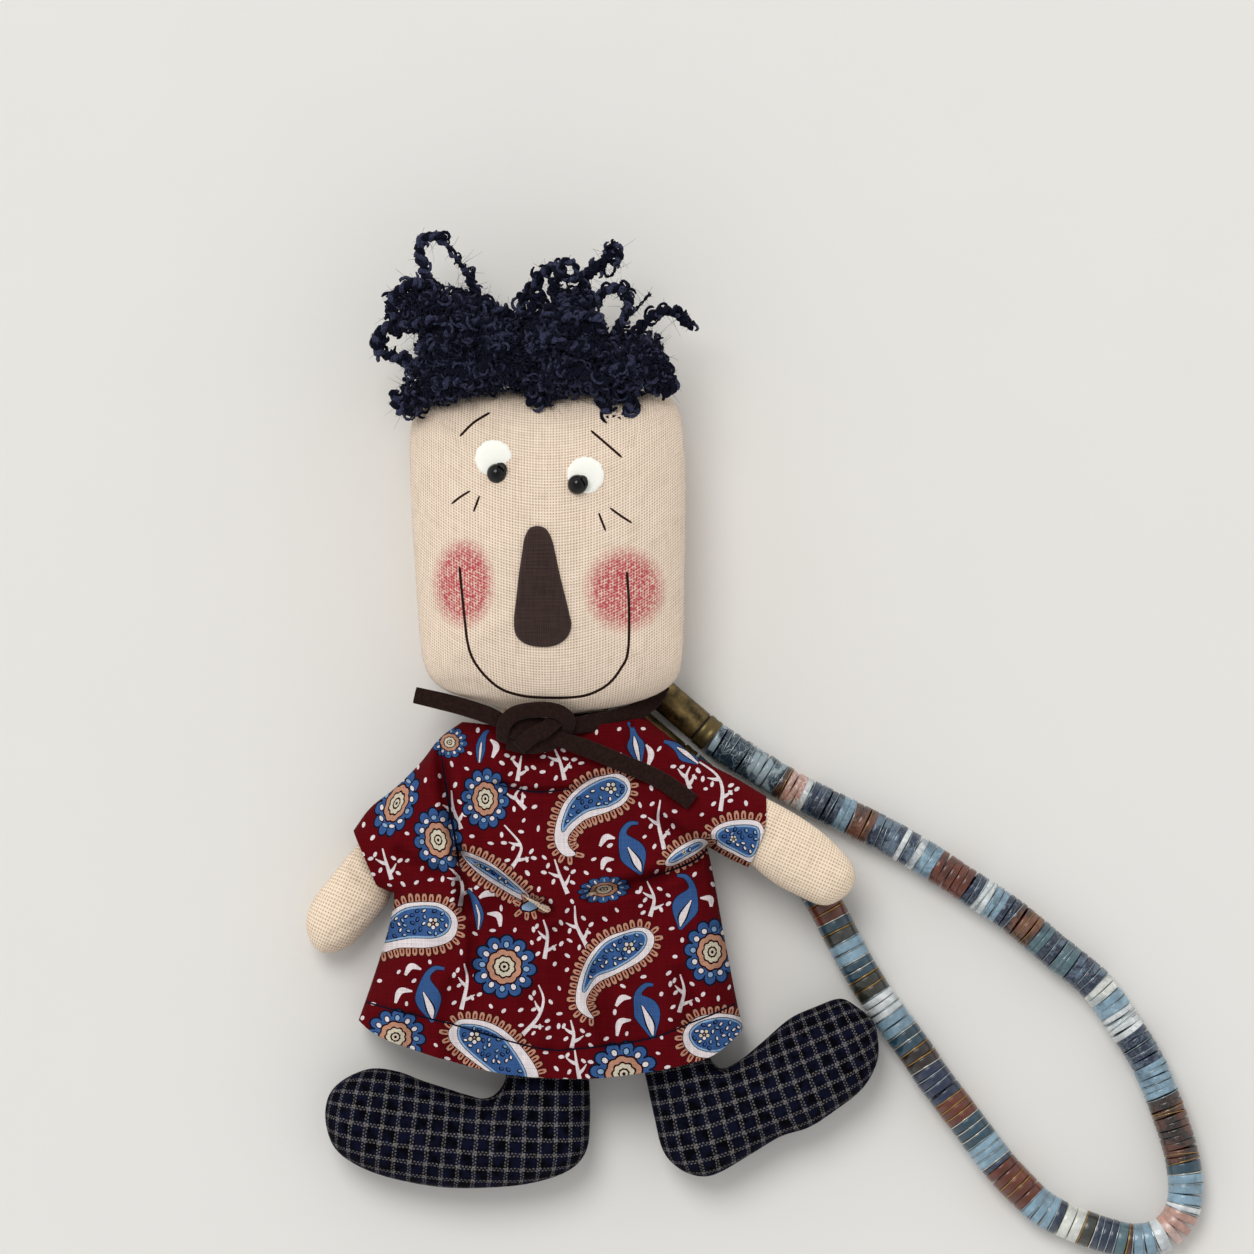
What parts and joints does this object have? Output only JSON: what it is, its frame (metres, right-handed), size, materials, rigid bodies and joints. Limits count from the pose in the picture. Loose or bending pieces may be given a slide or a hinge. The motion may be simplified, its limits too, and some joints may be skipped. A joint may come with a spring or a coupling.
{
  "type": "rag doll charm",
  "caption": "Small stuffed cloth doll in a printed dress, lying on its back, hung on a closed strand of glossy disc beads with brass end caps.",
  "frame": {"origin": "on the flat back of the dress, in the middle of the body, on the plane the doll lies on", "axes": "+Z out of the face, away from the table; +Y towards the hair; +X to the right of someone who looks down on the doll"},
  "size_m": [0.1498, 0.1718, 0.029],
  "materials": {
    "linen": "plain weave, unbleached",
    "eye_white": "felted",
    "black_glass": "polished",
    "nose_cloth": "ribbed",
    "yarn": "looped woollen yarn",
    "lace": "matt",
    "print_cotton": "printed cotton",
    "arm_cloth": "plain weave",
    "check_cloth": "woven check",
    "brass": "antique, darkened",
    "thread": "waxed thread",
    "bead_teal": "glossy",
    "bead_navy": "glossy",
    "bead_sky": "glossy",
    "bead_cream": "glossy",
    "bead_pink": "glossy",
    "bead_brown": "glossy"
  },
  "bodies": {
    "root": {"head": "linen", "eye_white_left": "eye_white", "eye_white_right": "eye_white", "pupil_bead_left": "black_glass", "pupil_bead_right": "black_glass", "nose_patch": "nose_cloth", "hair_tuft_left": "yarn", "hair_tuft_right": "yarn", "neck_lace": "lace", "torso": "linen", "dress": "print_cotton", "arm_left": "arm_cloth", "arm_right": "arm_cloth", "leg_left": "check_cloth", "leg_right": "check_cloth", "end_cap_upper": "brass", "end_cap_lower": "brass", "oval_ring": "brass", "hang_loop": "thread", "bead_run_01": "bead_teal", "bead_run_02": "bead_pink", "bead_run_03": "bead_navy", "bead_run_04": "bead_sky", "bead_run_05": "bead_brown", "bead_run_06": "bead_navy", "bead_run_07": "bead_sky", "bead_run_08": "bead_brown", "bead_run_09": "bead_cream", "bead_run_10": "bead_navy", "bead_run_11": "bead_brown", "bead_run_12": "bead_teal", "bead_run_13": "bead_navy", "bead_run_14": "bead_cream", "bead_run_15": "bead_sky", "bead_run_16": "bead_cream", "bead_run_17": "bead_navy", "bead_run_18": "bead_sky", "bead_run_19": "bead_brown", "bead_run_20": "bead_teal", "bead_run_21": "bead_sky", "bead_run_22": "bead_pink", "bead_run_23": "bead_cream", "bead_run_24": "bead_sky", "bead_run_25": "bead_navy", "bead_run_26": "bead_cream", "bead_run_27": "bead_sky", "bead_run_28": "bead_brown", "bead_run_29": "bead_sky", "bead_run_30": "bead_teal", "bead_run_31": "bead_brown", "bead_run_32": "bead_navy", "bead_run_33": "bead_sky", "bead_run_34": "bead_cream", "bead_run_35": "bead_teal", "bead_run_36": "bead_sky", "bead_run_37": "bead_teal", "bead_run_38": "bead_brown", "bead_run_39": "bead_teal"}
  },
  "joints": []
}
